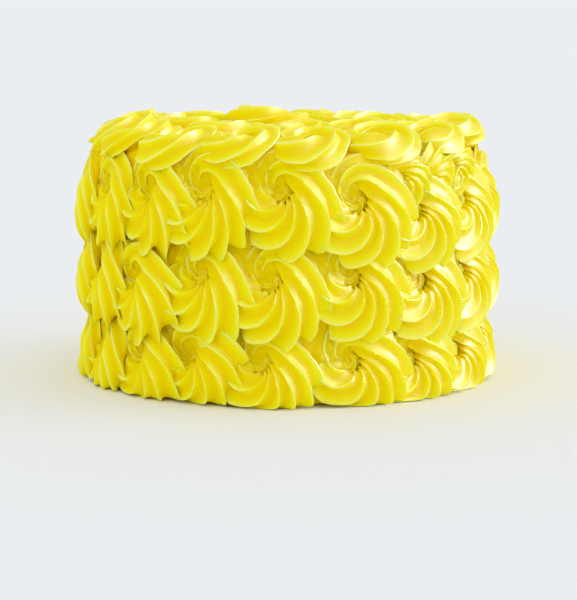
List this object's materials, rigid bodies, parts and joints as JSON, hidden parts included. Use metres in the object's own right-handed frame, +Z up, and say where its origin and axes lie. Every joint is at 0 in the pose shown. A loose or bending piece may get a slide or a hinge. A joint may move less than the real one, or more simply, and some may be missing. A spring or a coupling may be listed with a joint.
{
  "type": "rose cake",
  "caption": "Round layer cake with large piped rosettes of yellow buttercream in rows round the side and in rings over the top.",
  "frame": {"origin": "middle of the flat underside of the cake", "axes": "+Z up through the middle of the cake, -Y towards the side that the picture shows"},
  "size_m": [0.2407, 0.24, 0.152],
  "materials": {
    "buttercream": "soft satin sheen",
    "sponge": "matte crumb"
  },
  "bodies": {
    "root": {"sponge": "sponge", "bottom_row_rosette_01": "buttercream", "bottom_row_rosette_02": "buttercream", "bottom_row_rosette_03": "buttercream", "bottom_row_rosette_04": "buttercream", "bottom_row_rosette_05": "buttercream", "bottom_row_rosette_06": "buttercream", "bottom_row_rosette_07": "buttercream", "bottom_row_rosette_08": "buttercream", "bottom_row_rosette_09": "buttercream", "bottom_row_rosette_10": "buttercream", "bottom_row_rosette_11": "buttercream", "bottom_row_rosette_12": "buttercream", "bottom_row_rosette_13": "buttercream", "bottom_row_rosette_14": "buttercream", "bottom_row_rosette_15": "buttercream", "bottom_row_rosette_16": "buttercream", "bottom_row_rosette_17": "buttercream", "bottom_row_rosette_18": "buttercream", "middle_row_rosette_01": "buttercream", "middle_row_rosette_02": "buttercream", "middle_row_rosette_03": "buttercream", "middle_row_rosette_04": "buttercream", "middle_row_rosette_05": "buttercream", "middle_row_rosette_06": "buttercream", "middle_row_rosette_07": "buttercream", "middle_row_rosette_08": "buttercream", "middle_row_rosette_09": "buttercream", "middle_row_rosette_10": "buttercream", "middle_row_rosette_11": "buttercream", "middle_row_rosette_12": "buttercream", "middle_row_rosette_13": "buttercream", "middle_row_rosette_14": "buttercream", "middle_row_rosette_15": "buttercream", "middle_row_rosette_16": "buttercream", "middle_row_rosette_17": "buttercream", "middle_row_rosette_18": "buttercream", "top_row_rosette_01": "buttercream", "top_row_rosette_02": "buttercream", "top_row_rosette_03": "buttercream", "top_row_rosette_04": "buttercream", "top_row_rosette_05": "buttercream", "top_row_rosette_06": "buttercream", "top_row_rosette_07": "buttercream", "top_row_rosette_08": "buttercream", "top_row_rosette_09": "buttercream", "top_row_rosette_10": "buttercream", "top_row_rosette_11": "buttercream", "top_row_rosette_12": "buttercream", "top_row_rosette_13": "buttercream", "top_row_rosette_14": "buttercream", "top_row_rosette_15": "buttercream", "top_row_rosette_16": "buttercream", "top_row_rosette_17": "buttercream", "top_row_rosette_18": "buttercream", "top_outer_ring": "buttercream", "top_inner_ring": "buttercream", "top_middle_rosette": "buttercream"}
  },
  "joints": []
}
